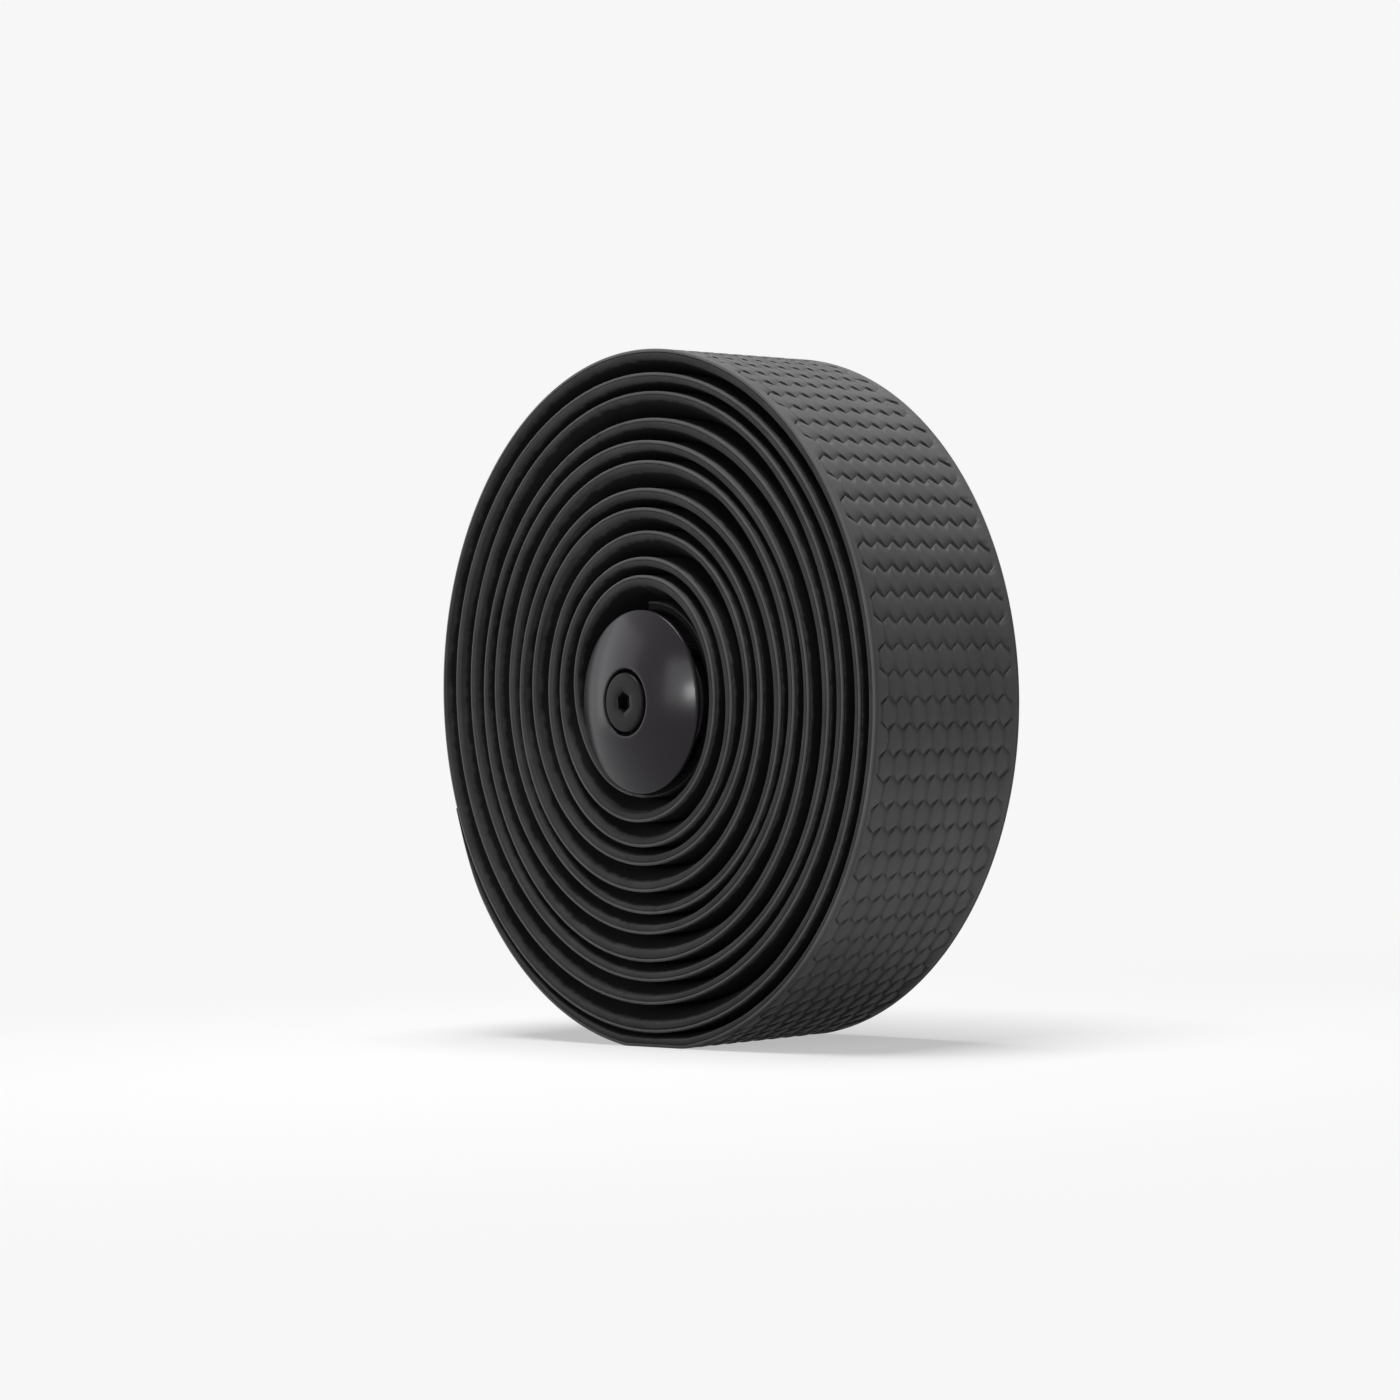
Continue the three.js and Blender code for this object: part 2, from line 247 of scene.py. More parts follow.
# A hexagon is like a scale: steep towards the front edge, gently sloping to the back. Its rings
# run from the groove's floor to its top, at these parts of the way and heights. Its top has its
# front and back side and the ends of its sides and points at these places. Along the sides the
# groove has only a share of its depth.
WALL_PARTS = np.array([0.0, 0.35, 0.75, 1.0])
WALL_HEIGHTS = np.array([-1.0, -0.55, -0.1, 0.0]) * GROOVE_DEPTH
TOP_FRONT, TOP_BACK = -1.2, -0.7
TOP_SIDE_HALF, TOP_POINT_HALF = 1.14, 1.72
SIDE_SHARE = 0.5
DEPTH_SHARES = np.array([1, SIDE_SHARE, SIDE_SHARE, 1, 1, 1, 1] * 2)
RING_POINTS = len(DEPTH_SHARES)

# The rows cover a little more than a turn, and the strip has a plain end past the first and last
SKIN_TURNS = 1.02
END_MARGIN = 0.75

# Each margin goes from the hexagons up the groove's far wall, at these distances from them in
# front and at the back, and then over the plain band, the heat-sealed lip and down the side,
# given as (across, height)
FRONT_WALL = (0.0, 0.2, 0.42)
BACK_WALL = (0.0, 0.1, 0.22)
OUTER_LIP = [(14.1, 0.0), (14.45, -0.02), (14.53, -0.12), (14.62, -0.03), (14.8, 0.0),
             (14.93, -0.09), (TAPE_HALF_WIDTH, -0.24), (TAPE_HALF_WIDTH, -0.46)]


def cell_rings():
    """One hexagon as rings of (across, along) points: six corners, two more points along each side
    and one more along each end. A ring lies at its part of the straight way from outline to top."""
    front = -COLUMN / 2 + (TOP_FRONT + COLUMN / 2) * WALL_PARTS
    back = COLUMN / 2 + (TOP_BACK - COLUMN / 2) * WALL_PARTS
    side = SIDE_HALF + (TOP_SIDE_HALF - SIDE_HALF) * WALL_PARTS
    point = POINT_HALF + (TOP_POINT_HALF - POINT_HALF) * WALL_PARTS
    centre = (front + back) / 2
    across = [back, back, back, back, (back + centre) / 2, centre, (front + centre) / 2]
    across += [front, front, front, front, (front + centre) / 2, centre, (back + centre) / 2]
    middle = (side + point) / 2
    along = [-side, -side / 2, side / 2, side, middle, point, middle]
    along += [side, side / 2, -side / 2, -side, -middle, -point, -middle]
    return np.stack([np.stack(across, axis=-1), np.stack(along, axis=-1)], axis=-1)


def embossed_face(row_centres):
    """Points (across, along, height) and faces of all the hexagons: the rings of one cell at every
    centre, and a fan from its innermost ring to the middle of its top."""
    long_row = np.arange(LONG_ROW) * COLUMN - (LONG_ROW - 1) / 2 * COLUMN
    short_row = np.arange(LONG_ROW - 1) * COLUMN - (LONG_ROW - 2) / 2 * COLUMN
    centres = np.concatenate([
        np.stack([across, np.full(len(across), along)], axis=-1)
        for number, along in enumerate(row_centres)
        for across in [long_row if number % 2 == 0 else short_row]
    ])
    rings = cell_rings()
    flat = np.concatenate([rings.reshape(-1, 2), [[(TOP_FRONT + TOP_BACK) / 2, 0]]])
    height = np.append((WALL_HEIGHTS[:, None] * DEPTH_SHARES).ravel(), 0.0)
    place = centres[:, None] + flat[None]
    points = np.concatenate([place, np.broadcast_to(height, place.shape[:2])[..., None]], axis=-1)
    cell = np.array(grid_faces(len(rings), RING_POINTS, True))
    top = np.arange(RING_POINTS) + RING_POINTS * (len(rings) - 1)
    fan = np.stack([top, np.roll(top, -1), np.full(RING_POINTS, len(flat) - 1)], axis=-1)
    start = (np.arange(len(centres)) * len(flat))[:, None, None]
    faces = (cell[None] + start).reshape(-1, 4).tolist() + (fan[None] + start).reshape(-1, 3).tolist()
    return points.reshape(-1, 3), faces


def margin_stations(centres, first, last):
    """Stations along a margin, five a row as the edge cells have them: their place along the tape,
    how far across the cells reach there, and the share of the groove's depth."""
    rows = len(centres)
    edge = np.where(np.arange(rows) % 2 == 0, LONG_ROW / 2, (LONG_ROW - 1) / 2) * COLUMN
    between = np.full(rows, (LONG_ROW - 0.5) / 2 * COLUMN)
    step = np.array([-SIDE_HALF, -SIDE_HALF / 2, SIDE_HALF / 2, SIDE_HALF, (SIDE_HALF + POINT_HALF) / 2])
    along = np.concatenate([[first], (centres[:, None] + step).ravel()[:-1], [last]])
    border = np.stack([edge, edge, edge, edge, between], axis=-1).ravel()[:-1]
    border = np.concatenate([[edge[0]], border, [edge[0]]])
    share = np.concatenate([[0], np.tile([1, SIDE_SHARE, SIDE_SHARE, 1, 1], rows)[:-1], [0]])
    return along, border, share


def margin(side, wall, along, border, share):
    """A margin's grid: each line across it follows the stations, at its own height."""
    lip_across, lip_heights = zip(*OUTER_LIP)
    lift = np.concatenate([WALL_HEIGHTS[:len(wall)], lip_heights])
    height = np.repeat(lift[:, None], len(along), axis=1)
    height[:len(wall)] *= share
    plain = [np.full(len(along), place) for place in lip_across]
    across = np.stack([border + distance for distance in wall] + plain)
    return np.stack([side * across, np.broadcast_to(along, across.shape), height], axis=-1)


def cut_end(side, row, front_margin, back_margin, station):
    """A cut end of the strip: a grid from the last row's points out to a straight line, and a flat
    face down from that line to the underside."""
    straight = front_margin[0, station, 1]
    reach_across = LONG_ROW / 2 * COLUMN
    zigzag = np.linspace(-reach_across, reach_across, 4 * LONG_ROW + 1)
    from_centre = np.abs((zigzag / COLUMN + 0.5) % 1 - 0.5) * 2
    reach = POINT_HALF - (POINT_HALF - SIDE_HALF) * from_centre
    inner = np.stack([zigzag, row + side * reach, np.full(len(zigzag), -GROOVE_DEPTH)], axis=-1)
    outer = np.stack([zigzag, np.full(len(zigzag), straight), np.zeros(len(zigzag))], axis=-1)
    foot = np.array([[TAPE_HALF_WIDTH, straight, -SKIN_THICKNESS],
                     [-TAPE_HALF_WIDTH, straight, -SKIN_THICKNESS]])
    rim = np.concatenate([front_margin[::-1, station], outer[1:-1], back_margin[:, station], foot])
    return [grid_patch(np.stack([inner, outer])), (rim, [list(range(len(rim)))])]


def outer_skin(material):
    """The outermost turn's skin, worked out as a flat strip and then laid on the roll: hexagons,
    two margins, two cut ends, side walls and a flat underside. Gives the turns that it covers."""
    rows = 2 * int((TURN * ROLL_RADIUS * SKIN_TURNS / ROW) / 2) + 1
    centres = ROW * np.arange(rows)
    first = centres[0] - POINT_HALF - END_MARGIN
    last = centres[-1] + POINT_HALF + END_MARGIN
    along, border, share = margin_stations(centres, first, last)
    front = margin(-1, FRONT_WALL, along, border, share)
    back = margin(1, BACK_WALL, along, border, share)
    side_foot = OUTER_LIP[-1][1]
    under = np.stack([
        np.stack([np.full(len(along), across), along, np.full(len(along), height)], axis=-1)
        for across, height in [(TAPE_HALF_WIDTH, side_foot), (TAPE_HALF_WIDTH, -SKIN_THICKNESS),
                               (-TAPE_HALF_WIDTH, -SKIN_THICKNESS), (-TAPE_HALF_WIDTH, side_foot)]
    ])
    patches = [embossed_face(centres), grid_patch(front), grid_patch(back)]
    patches += cut_end(-1, centres[0], front, back, 0)
    patches += cut_end(1, centres[-1], front, back, -1)
    points, faces = joined(patches + [grid_patch(under)])

    turns = (points[:, 1] - first) / (TURN * ROLL_RADIUS)
    placed = on_roll(turns, points[:, 0], -points[:, 2] * skin_share(turns))
    placed[:, 2] = np.maximum(placed[:, 2], 0)
    add_piece("tape_skin_outer", placed, faces, material, "roll", ["bar_tape"], 60)
    return turns.max()


# Wound skin and foam

# Half of the wound skin's outline as (across, depth): the flat face, the sealed lip and the side
SKIN_HALF = [(14.0, 0.0), (14.42, 0.02), (14.5, 0.14), (14.6, 0.03), (14.78, 0.0), (14.93, 0.09),
             (TAPE_HALF_WIDTH, 0.24), (TAPE_HALF_WIDTH, 0.4), (14.9, SKIN_THICKNESS)]

# Half of the foam's: its edge as (across, part of the way down the edge), and its bevel as (part
# of the taper's width, part of the way down to full thickness)
FOAM_EDGE = np.array([(14.72, 0.0), (14.95, 0.08), (TAPE_HALF_WIDTH, 0.35), (14.98, 0.75),
                      (14.9, 0.93), (14.7, 1.0)])
FOAM_BEVEL = np.array([(0.1, 0.1), (0.24, 0.3), (0.45, 0.55), (0.7, 0.78), (0.9, 0.93), (1.12, 1.0)])

# The foam's edge takes at most this share of its middle, and nothing is thinner than this
EDGE_SHARE = 0.6
THINNEST = 0.02

# In turns, how far the foam starts from the tail's end and the wound skin from the outer one's
FOAM_START = 0.002
STRIP_GAP = 0.0001
STATIONS_A_TURN = 120


def wound_strip(name, section, start, material):
    """A strip wound from start to the inner end: section(turns) gives its closed outline as
    (across, depth) arrays, one row a station."""
    turns = np.linspace(start, WOUND_TURNS, int((WOUND_TURNS - start) * STATIONS_A_TURN))
    across, depth = section(turns)
    rings = on_roll(turns[:, None], across, depth)
    tube(name, rings, material, "roll", ["bar_tape"], 60)


def skin_section(turns):
    """Outline of the wound skin: the half and its mirror image, the same at every station."""
    outline = np.array(SKIN_HALF + [(-across, depth) for across, depth in SKIN_HALF[::-1]])
    shape = (len(turns), len(outline))
    return np.broadcast_to(outline[:, 0], shape), np.broadcast_to(outline[:, 1], shape)


def foam_section(turns):
    """Outline of the foam: under the skin, round the thin edge, which is uneven by slow waves, and
    down the bevel to full thickness, then the same mirrored."""
    middle = middle_thickness(turns)[:, None]
    skin = (SKIN_THICKNESS * skin_share(turns))[:, None]
    edge = EDGE_THICKNESS * (1 + waves(turns, EDGE_WAVES)[:, None])
    edge = np.maximum(np.minimum(edge, EDGE_SHARE * middle), skin + THINNEST)
    middle = np.maximum(middle, edge + THINNEST)
    edge_depth = skin + (edge - skin) * FOAM_EDGE[:, 1]
    bevel_depth = edge + (middle - edge) * FOAM_BEVEL[:, 1]
    half = np.concatenate([FOAM_EDGE[:, 0], TAPE_HALF_WIDTH - EDGE_TAPER * FOAM_BEVEL[:, 0]])
    half_depth = np.concatenate([edge_depth, bevel_depth], axis=1)
    across = np.broadcast_to(np.concatenate([half, -half[::-1]]), (len(turns), 2 * len(half)))
    return across, np.concatenate([half_depth, half_depth[:, ::-1]], axis=1)


# Plug, each piece turned about an axis along Y through the screw

SCREW_AXIS = Vector(frame["joints"][0]["pos_m"]) / MM
CAP_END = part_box("plug_cap")[1].y / MM
SCREW_FRONT, SCREW_TIP = (corner.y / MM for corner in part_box("plug_screw"))


def round_axis(radius, y, angle):
    """Points at a radius, an angle round the screw's axis and a place y along it."""
    x = SCREW_AXIS.x + radius * np.cos(angle)
    z = SCREW_AXIS.z + radius * np.sin(angle)
    return np.stack([x, np.broadcast_to(y, radius.shape), z], axis=-1)


def turned(profile, steps, shapes=None):
    """Rings round the screw's axis, one for each (radius, y) pair. Where shapes has a ring's number,
    its function of the angle gives the radius instead."""
    angle = np.arange(steps) * TURN / steps
    radius = np.repeat(np.array([r for r, y in profile], float)[:, None], steps, axis=1)
    for number, polar in (shapes or {}).items():
        radius[number] = polar(angle)
    return round_axis(radius, np.array([y for r, y in profile], float)[:, None], angle)


def plug_cap(material):
    """Shallow dome of one sphere with a rounded rim, a flat back, a spigot and a stepped bore."""
    back = CAP_END - SPIGOT_LENGTH
    rim = back - RIM_HEIGHT
    sphere = (CAP_RADIUS ** 2 + DOME_RISE ** 2) / (2 * DOME_RISE)
    bore = SCREW_RADIUS + RUNNING_GAP
    counterbore = HEAD_RADIUS + RING_GAP
    floor = SCREW_FRONT + HEAD_HEIGHT + RUNNING_GAP

    def dome(radius):
        """Place along the axis of the sphere's surface at a radius from the axis."""
        return rim - DOME_RISE + sphere - math.sqrt(sphere ** 2 - radius ** 2)

    mouth = dome(counterbore + CAP_ROUNDING)
    edge_radius = CAP_RADIUS - CAP_ROUNDING
    edge = dome(edge_radius)
    profile = [
        (bore, back + SPIGOT_LENGTH), (bore, floor),
        (counterbore - CAP_CHAMFER, floor), (counterbore, floor - CAP_CHAMFER),
        (counterbore, mouth + 0.35), (counterbore + 0.05, mouth + 0.16), (counterbore + 0.15, mouth + 0.04)
    ]
    profile += [(r, dome(r)) for r in np.linspace(counterbore + 0.32, edge_radius, 26)]
    profile += [
        (CAP_RADIUS - 0.13, edge + 0.09), (CAP_RADIUS - 0.03, edge + 0.2), (CAP_RADIUS, edge + 0.34),
        (CAP_RADIUS, back - CAP_CHAMFER), (CAP_RADIUS - CAP_CHAMFER, back),
        (SPIGOT_RADIUS + CAP_CHAMFER, back), (SPIGOT_RADIUS, back + CAP_CHAMFER),
        (SPIGOT_RADIUS, back + SPIGOT_LENGTH - CAP_CHAMFER),
        (SPIGOT_RADIUS - CAP_CHAMFER, back + SPIGOT_LENGTH)
    ]
    rings = turned(profile + profile[:1], 160)
    faces = grid_faces(*rings.shape[:2], True)
    add_piece("cap", rings.reshape(-1, 3), faces, material, "roll", ["plug_cap"], 35)


def hexagon(flats):
    """Radius of a hexagon with a size across flats, by angle: half of it over the cosine of the
    angle from the nearest flat's middle."""
    return lambda angle: flats / 2 / np.cos((angle + TURN / 12) % (TURN / 6) - TURN / 12)


def plug_screw(material):
    """Button head with a hexagon socket, and a shank whose thread winds one pitch a turn: its
    depth falls and rises evenly within a pitch, and eases away at both ends."""
    front = SCREW_FRONT
    seat = front + HEAD_HEIGHT
    tip = SCREW_TIP
    head = [
        (0, front + SOCKET_DEPTH + 0.25), (0, front + SOCKET_DEPTH), (0, front + 0.12), (0, front + 0.02),
        (2.6, front), (HEAD_RADIUS - 0.45, front), (HEAD_RADIUS - 0.25, front + 0.04),
        (HEAD_RADIUS - 0.1, front + 0.15), (HEAD_RADIUS - 0.02, front + 0.32), (HEAD_RADIUS, front + 0.6),
        (HEAD_RADIUS, seat - 0.12), (HEAD_RADIUS - 0.12, seat), (SCREW_RADIUS + 0.25, seat)
    ]
    socket = {1: hexagon(SOCKET_FLATS), 2: hexagon(SOCKET_FLATS), 3: hexagon(SOCKET_FLATS + 0.4)}
    steps = 96
    angle = np.arange(steps) * TURN / steps
    y = np.arange(seat + 0.05, tip - 0.1, THREAD_PITCH / 8)[:, None]
    phase = (y / THREAD_PITCH - angle / TURN) % 1
    depth = THREAD_DEPTH * np.abs(2 * phase - 1)
    ease_in = np.clip((y - seat - PLAIN_SHANK) / THREAD_EASE, 0, 1)
    ease_out = np.clip((tip - PLAIN_TIP - y) / THREAD_EASE, 0, 1)
    coned = TIP_CHAMFER * np.clip((y - tip + TIP_LENGTH) / TIP_LENGTH, 0, 1)
    radius = SCREW_RADIUS - depth * ease_in * ease_out - coned
    end = turned([(1.8, tip - 0.05), (1.6, tip)], steps)
    rings = np.concatenate([turned(head, steps, socket), round_axis(radius, y, angle), end])
    tube("screw", rings, material, "screw", ["plug_screw"], 35)


# Materials

# Distances from the tape's middle, in metres, between which the painted shade inside the tape's
# edges gives way to the edges' tone, once noise of up to the third value has been added
PAINTED_SHADE_START, PAINTED_SHADE_END, PAINTED_SHADE_RAGGED = 0.0146, 0.0154, 0.0014


def material_nodes(name, color, roughness, specular=0.5):
    """A material with its node tree, its shader and its Object coordinates."""
    material = bpy.data.materials.new(name)
    material.use_nodes = True
    tree = material.node_tree
    shader = tree.nodes["Principled BSDF"]
    shader.inputs["Base Color"].default_value = (*color, 1)
    shader.inputs["Roughness"].default_value = roughness
    shader.inputs["Specular IOR Level"].default_value = specular
    place = tree.nodes.new("ShaderNodeTexCoord")
    return material, tree, shader, place


def noise(tree, place, scale, detail):
    """Soft noise on Object coordinates, in metres."""
    node = tree.nodes.new("ShaderNodeTexNoise")
    node.inputs["Scale"].default_value = scale
    node.inputs["Detail"].default_value = detail
    node.inputs["Roughness"].default_value = 0.55
    tree.links.new(place.outputs["Object"], node.inputs["Vector"])
    return node


def ramp(tree, source, stops):
    """A colour or a grey that runs between two stops of (position, value)."""
    node = tree.nodes.new("ShaderNodeValToRGB")
    for element, (position, value) in zip(node.color_ramp.elements, stops):
        element.position = position
        color = value if isinstance(value, tuple) else (value, value, value)
        element.color = (*color, 1)
    tree.links.new(source, node.inputs["Fac"])
    return node


def bump(tree, height, distance, strength, shader):
    """Gives the shader a relief of a height, with its full depth in metres."""
    node = tree.nodes.new("ShaderNodeBump")
    node.inputs["Distance"].default_value = distance
    node.inputs["Strength"].default_value = strength
    tree.links.new(height, node.inputs["Height"])
    tree.links.new(node.outputs["Normal"], shader.inputs["Normal"])


def painted_shade_inside_edges(tree, place, tone, edge, inside, shader):
    """Gives the shader one share of a tone at the tape's two edges and a lower one inside them, which
    is painted shade of the gaps between the turns: a smooth step of the distance from the tape's
    middle, along a line made ragged by noise."""
    axes = tree.nodes.new("ShaderNodeSeparateXYZ")
    tree.links.new(place.outputs["Object"], axes.inputs[0])
    outward = tree.nodes.new("ShaderNodeMath")
    outward.operation = "ABSOLUTE"
    tree.links.new(axes.outputs["Y"], outward.inputs[0])
    ragged = tree.nodes.new("ShaderNodeMath")
    ragged.operation = "MULTIPLY_ADD"
    ragged.inputs[1].default_value = PAINTED_SHADE_RAGGED
    tree.links.new(noise(tree, place, 420, 3).outputs["Fac"], ragged.inputs[0])
    tree.links.new(outward.outputs[0], ragged.inputs[2])
    painted_shade_share = tree.nodes.new("ShaderNodeMapRange")
    painted_shade_share.interpolation_type = "SMOOTHSTEP"
    painted_shade_share.inputs["From Min"].default_value = PAINTED_SHADE_START
    painted_shade_share.inputs["From Max"].default_value = PAINTED_SHADE_END
    painted_shade_share.inputs["To Min"].default_value = inside
    painted_shade_share.inputs["To Max"].default_value = edge
    tree.links.new(ragged.outputs[0], painted_shade_share.inputs["Value"])
    shaded = tree.nodes.new("ShaderNodeVectorMath")
    shaded.operation = "SCALE"
    tree.links.new(tone.outputs["Color"], shaded.inputs[0])
    tree.links.new(painted_shade_share.outputs["Result"], shaded.inputs["Scale"])
    tree.links.new(shaded.outputs["Vector"], shader.inputs["Base Color"])


def skin_material(name, edge, inside):
    """Matt polyurethane: slightly uneven black, fine leathery grain, with one share of its tone at
    the tape's edges and another inside them; a lower share inside is painted shade of the gaps
    between the turns."""
    material, tree, shader, place = material_nodes(name, (0.107, 0.107, 0.108), 0.6, 0.1)
    cloud = noise(tree, place, 90, 4)
    tone = ramp(tree, cloud.outputs["Fac"], [(0.3, (0.096, 0.096, 0.097)), (0.7, (0.118, 0.118, 0.119))])
    painted_shade_inside_edges(tree, place, tone, edge, inside, shader)
    sheen = ramp(tree, noise(tree, place, 700, 2).outputs["Fac"], [(0.3, 0.55), (0.7, 0.68)])
    tree.links.new(sheen.outputs["Color"], shader.inputs["Roughness"])
    bump(tree, noise(tree, place, 2600, 3).outputs["Fac"], 0.00003, 0.6, shader)
    return material


def foam_material():
    """Closed-cell foam: dull, with fine cells, and darker inside the tape's edges by painted shade of the
    gaps between the turns.
    """
    material, tree, shader, place = material_nodes("closed_cell_foam", (0.051, 0.051, 0.052), 0.9, 0.04)
    cloud = noise(tree, place, 160, 4)
    tone = ramp(tree, cloud.outputs["Fac"], [(0.3, (0.043, 0.043, 0.044)), (0.7, (0.059, 0.059, 0.060))])
    # Painted shade: a quarter of the foam's tone inside the tape's edges.
    painted_shade_inside_edges(tree, place, tone, 1.0, 0.25, shader)
    cells = tree.nodes.new("ShaderNodeTexVoronoi")
    cells.inputs["Scale"].default_value = 3800
    tree.links.new(place.outputs["Object"], cells.inputs["Vector"])
    bump(tree, cells.outputs["Distance"], 0.00004, 0.7, shader)
    return material


def gloss_material():
    """Polished moulded plastic with a faint unevenness in its reflections."""
    material, tree, shader, place = material_nodes("gloss_black_plastic", (0.017, 0.014, 0.018), 0.2, 0.17)
    uneven = ramp(tree, noise(tree, place, 120, 3).outputs["Fac"], [(0.3, 0.17), (0.7, 0.25)])
    tree.links.new(uneven.outputs["Color"], shader.inputs["Roughness"])
    bump(tree, noise(tree, place, 420, 2).outputs["Fac"], 0.00001, 0.5, shader)
    return material


def steel_material():
    """Black-oxided steel, slightly blotchy."""
    material, tree, shader, place = material_nodes("black_oxide_steel", (0.016, 0.015, 0.016), 0.4, 0.08)
    blotch = noise(tree, place, 300, 4)
    tone = ramp(tree, blotch.outputs["Fac"], [(0.3, (0.012, 0.011, 0.012)), (0.7, (0.020, 0.019, 0.020))])
    tree.links.new(tone.outputs["Color"], shader.inputs["Base Color"])
    rough = ramp(tree, blotch.outputs["Fac"], [(0.3, 0.28), (0.7, 0.42)])
    tree.links.new(rough.outputs["Color"], shader.inputs["Roughness"])
    bump(tree, noise(tree, place, 3000, 2).outputs["Fac"], 0.00001, 0.5, shader)
    return material


def nylon_material():
    """Satin moulded nylon."""
    material, tree, shader, place = material_nodes("satin_nylon", (0.025, 0.025, 0.026), 0.5)
    rough = ramp(tree, noise(tree, place, 500, 3).outputs["Fac"], [(0.3, 0.42), (0.7, 0.58)])
    tree.links.new(rough.outputs["Color"], shader.inputs["Roughness"])
    bump(tree, noise(tree, place, 1800, 2).outputs["Fac"], 0.00002, 0.5, shader)
    return material


# Camera, floor and light

PHOTO_SIZE = 1400
FOCAL_PIXELS = 3076.3
ROLL_CENTRE_PIXEL = (710.8, 698.7)
CAMERA_AZIMUTH, CAMERA_ELEVATION, CAMERA_ROLL = 50.62, -1.84, -2.48
CAMERA_DISTANCE = 0.5046
SENSOR_WIDTH = 36
ROLL_CENTRE = Vector((0, 0, FLAT_HEIGHT * MM))

# Strengths of white light: of what is seen past the roll, of the dim even light on the roll, and
# of the floor's light on it beside the roll and far from it
BACKGROUND = 0.93
AMBIENT = 0.02
FLOOR_BOUNCE = (0.92, 0.26)

# The floor, and the share of plain background that it shows next to the roll
FLOOR_RADIUS = 1.5
FLOOR_TONE = 0.79
FLOOR_WHITENESS = 0.5
LAMP_DISTANCE = 0.8

# Distances in metres from where the roll stands: the floor's light on the roll grows from none
# between the first two and falls between the next two, and the floor goes over into the plain
# background between the last two
POOL_START, POOL_FULL = 0.035, 0.08
POOL_FADE, POOL_END = 0.1, 0.24
FLOOR_FADE, FLOOR_END = 0.05, 0.25


def add_camera():
    """The photograph's camera: level with the roll's middle, looking at its plug's side from the right."""
    angles = (CAMERA_AZIMUTH, CAMERA_ELEVATION, CAMERA_ROLL)
    azimuth, elevation, roll = (math.radians(angle) for angle in angles)
    out = math.cos(elevation)
    back = Vector((math.sin(azimuth) * out, -math.cos(azimuth) * out, math.sin(elevation)))
    level = (-back).cross(Vector((0, 0, 1))).normalized()
    over = level.cross(-back)
    right = math.cos(roll) * level + math.sin(roll) * over
    up = -math.sin(roll) * level + math.cos(roll) * over
    data = bpy.data.cameras.new("camera")
    data.sensor_width = SENSOR_WIDTH
    data.lens = SENSOR_WIDTH * FOCAL_PIXELS / PHOTO_SIZE
    data.shift_x = (PHOTO_SIZE / 2 - ROLL_CENTRE_PIXEL[0]) / PHOTO_SIZE
    data.shift_y = (ROLL_CENTRE_PIXEL[1] - PHOTO_SIZE / 2) / PHOTO_SIZE
    camera = bpy.data.objects.new("camera", data)
    facing = Matrix((right, up, back)).transposed().to_4x4()
    camera.matrix_world = Matrix.Translation(ROLL_CENTRE + CAMERA_DISTANCE * back) @ facing
    bpy.context.scene.collection.objects.link(camera)
    bpy.context.scene.camera = camera


def add_lamp(name, direction, size, power):
    """A square soft lamp that faces the roll's centre from a direction."""
    data = bpy.data.lights.new(name, "AREA")
    data.shape = "SQUARE"
    data.size = size
    data.energy = power
    lamp = bpy.data.objects.new(name, data)
    direction = Vector(direction).normalized()
    lamp.location = ROLL_CENTRE + LAMP_DISTANCE * direction
    lamp.rotation_mode = "QUATERNION"
    lamp.rotation_quaternion = direction.to_track_quat("Z", "Y")
    bpy.context.scene.collection.objects.link(lamp)


def feed(tree, value, socket):
    """Gives a shader's socket a number or another node's output."""
    if isinstance(value, float):
        socket.default_value = value
    else:
        tree.links.new(value, socket)


def larger(tree, one, other):
    """The larger of two nodes' outputs."""
    node = tree.nodes.new("ShaderNodeMath")
    node.operation = "MAXIMUM"
    tree.links.new(one, node.inputs[0])
    tree.links.new(other, node.inputs[1])
    return node.outputs[0]


def seen_strength(tree, lit):
    """Strength of a white light: BACKGROUND to the camera, gloss and glass, and lit to what it
    lights."""
    path = tree.nodes.new("ShaderNodeLightPath")
    seen = path.outputs["Is Camera Ray"]
    for name in ("Is Glossy Ray", "Is Transmission Ray"):
        seen = larger(tree, seen, path.outputs[name])
    strength = tree.nodes.new("ShaderNodeMix")
    feed(tree, lit, strength.inputs["A"])
    strength.inputs["B"].default_value = BACKGROUND
    tree.links.new(seen, strength.inputs["Factor"])
    return strength.outputs["Result"]


def add_world():
    """White where the camera, gloss or glass looks past the roll, and a dim even light on it."""
    world = bpy.data.worlds.new("studio")
    bpy.context.scene.world = world
    world.use_nodes = True
    tree = world.node_tree
    background = tree.nodes["Background"]
    background.inputs["Color"].default_value = (1, 1, 1, 1)
    tree.links.new(seen_strength(tree, AMBIENT), background.inputs["Strength"])


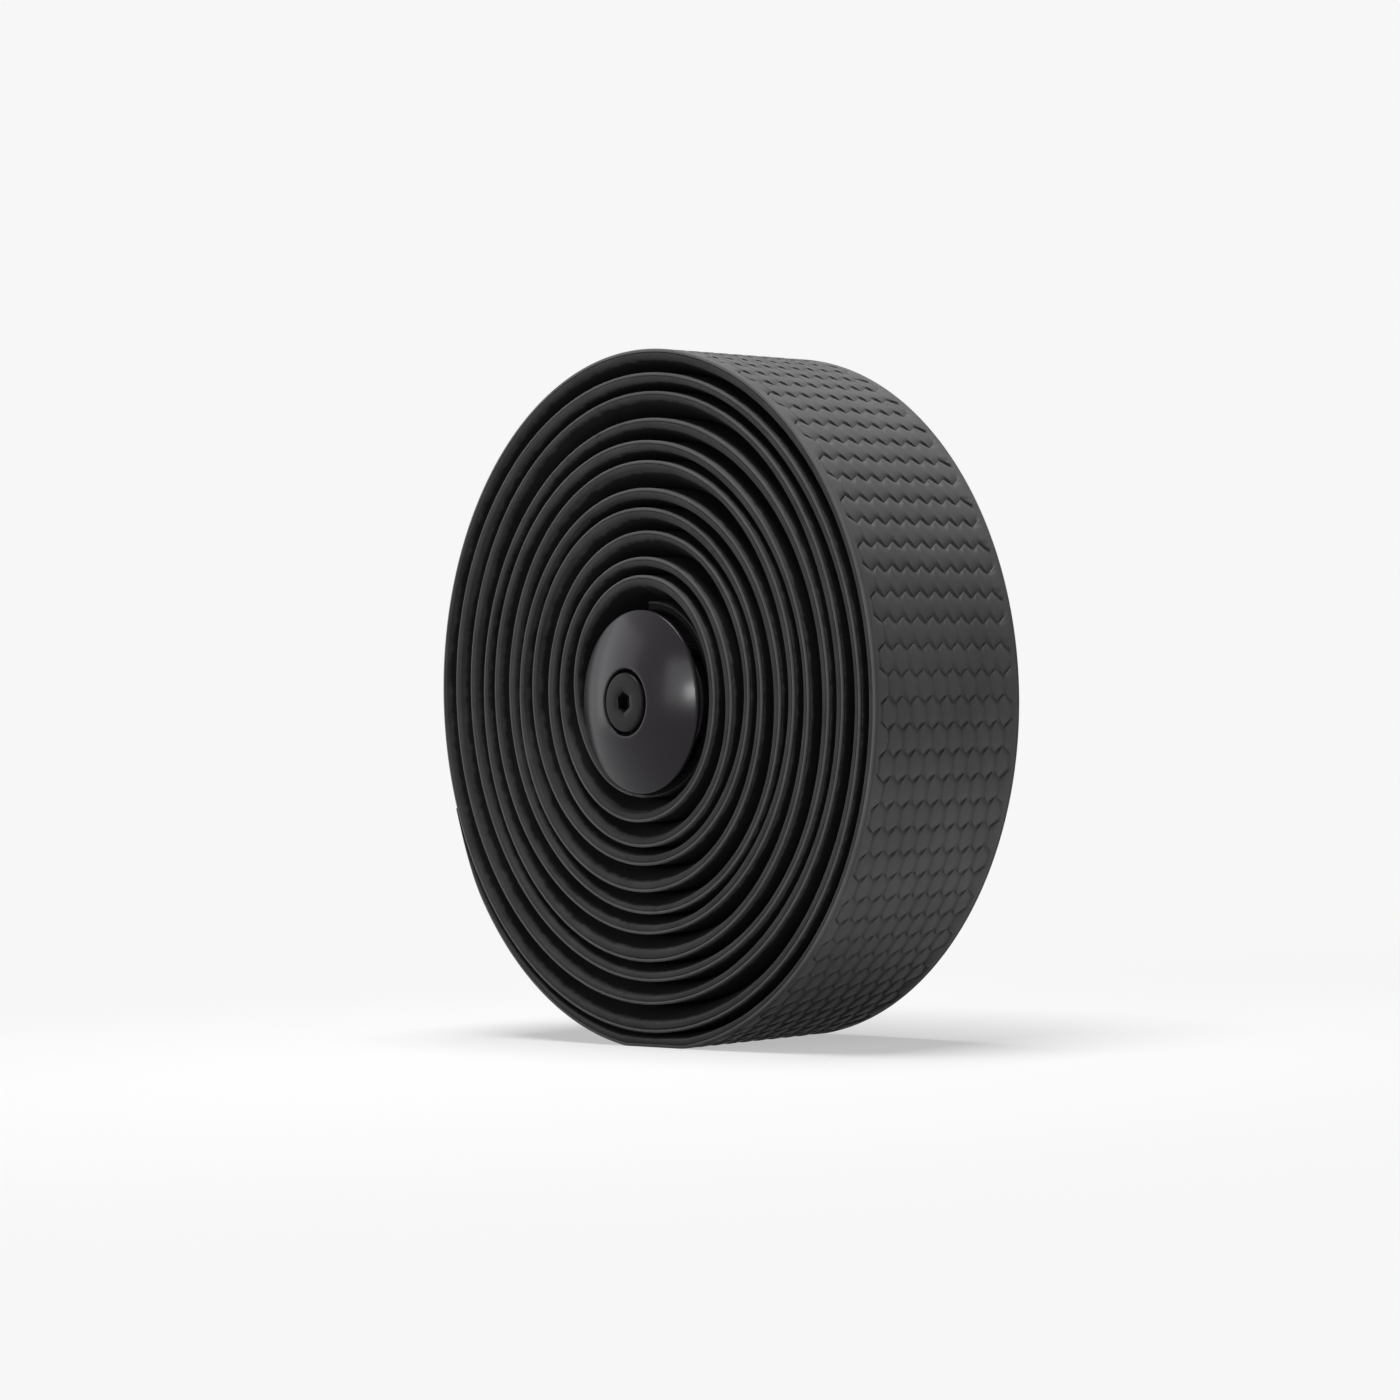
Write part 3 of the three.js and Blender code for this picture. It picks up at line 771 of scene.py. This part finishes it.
def floor_material():
    """A pale dull floor that takes the roll's soft shadow and goes over into the plain background
    away from it. Its own light on the roll is a pool: none from where the roll stands, most from
    beside it, and less from further off."""
    material, tree, shader, place = material_nodes("pale_floor", (FLOOR_TONE,) * 3, 0.9, 0.0)
    length = tree.nodes.new("ShaderNodeVectorMath")
    length.operation = "LENGTH"
    tree.links.new(place.outputs["Object"], length.inputs[0])

    def with_distance(start, end, low, high):
        """A value that goes smoothly from low to high between two distances from the origin."""
        step = tree.nodes.new("ShaderNodeMapRange")
        step.interpolation_type = "SMOOTHSTEP"
        for name, value in (("From Min", start), ("From Max", end), ("To Min", low), ("To Max", high)):
            feed(tree, value, step.inputs[name])
        tree.links.new(length.outputs["Value"], step.inputs["Value"])
        return step.outputs["Result"]

    falling = with_distance(POOL_FADE, POOL_END, *FLOOR_BOUNCE)
    bounce = with_distance(POOL_START, POOL_FULL, 0.0, falling)
    glow = tree.nodes.new("ShaderNodeEmission")
    glow.inputs["Color"].default_value = (1, 1, 1, 1)
    tree.links.new(seen_strength(tree, bounce), glow.inputs["Strength"])
    path = tree.nodes.new("ShaderNodeLightPath")
    white = with_distance(FLOOR_FADE, FLOOR_END, FLOOR_WHITENESS, 1.0)
    mix = tree.nodes.new("ShaderNodeMixShader")
    tree.links.new(larger(tree, white, path.outputs["Is Diffuse Ray"]), mix.inputs["Fac"])
    tree.links.new(shader.outputs["BSDF"], mix.inputs[1])
    tree.links.new(glow.outputs["Emission"], mix.inputs[2])
    tree.links.new(mix.outputs["Shader"], tree.nodes["Material Output"].inputs["Surface"])
    return material


def add_floor():
    """A round floor level with the flat that the roll stands on."""
    steps = 96
    angle = np.arange(steps) * TURN / steps
    points = np.stack([np.cos(angle), np.sin(angle), np.zeros(steps)], axis=-1) * FLOOR_RADIUS
    mesh = bpy.data.meshes.new("floor")
    mesh.from_pydata(points.tolist(), [], [list(range(steps))])
    mesh.materials.append(floor_material())
    floor = bpy.data.objects.new("floor", mesh)
    bpy.context.scene.collection.objects.link(floor)


# The scene, put together

add_camera()
add_world()
add_floor()
add_lamp("overhead", (0.0, -0.1, 1.0), 0.5, 9.4)
add_lamp("left", (-0.9, -0.5, 0.2), 0.5, 0.9)
add_lamp("right", (1.0, 0.0, 0.05), 0.5, 0.1)
add_lamp("upper_right", (0.8, 0.0, 0.75), 0.5, 0.35)
add_lamp("front", (-0.12, -1.0, 0.18), 0.3, 1.0)
add_lamp("spot", (0.0, -1.0, 0.08), 0.1, 1.1)

skin_end = outer_skin(skin_material("matt_polyurethane", 1.0, 1.0))
# The wound turns' skin is a shaded copy of the outer one: painted shade darkens it inside the tape's
# edges.
shaded_wound_skin = skin_material("wound_polyurethane_painted_shade", 0.85, 0.22)
wound_strip("tape_skin_inner", skin_section, skin_end + STRIP_GAP, shaded_wound_skin)
wound_strip("tape_foam", foam_section, FOAM_START, foam_material())
plug_cap(gloss_material())
plug_screw(steel_material())
nylon = nylon_material()
for node in ("expander_sleeve", "wedge_nut"):
    mesh = frame["nodes"][node].data
    mesh.materials.clear()
    mesh.materials.append(nylon)

scene = bpy.context.scene
scene.view_settings.view_transform = "Standard"
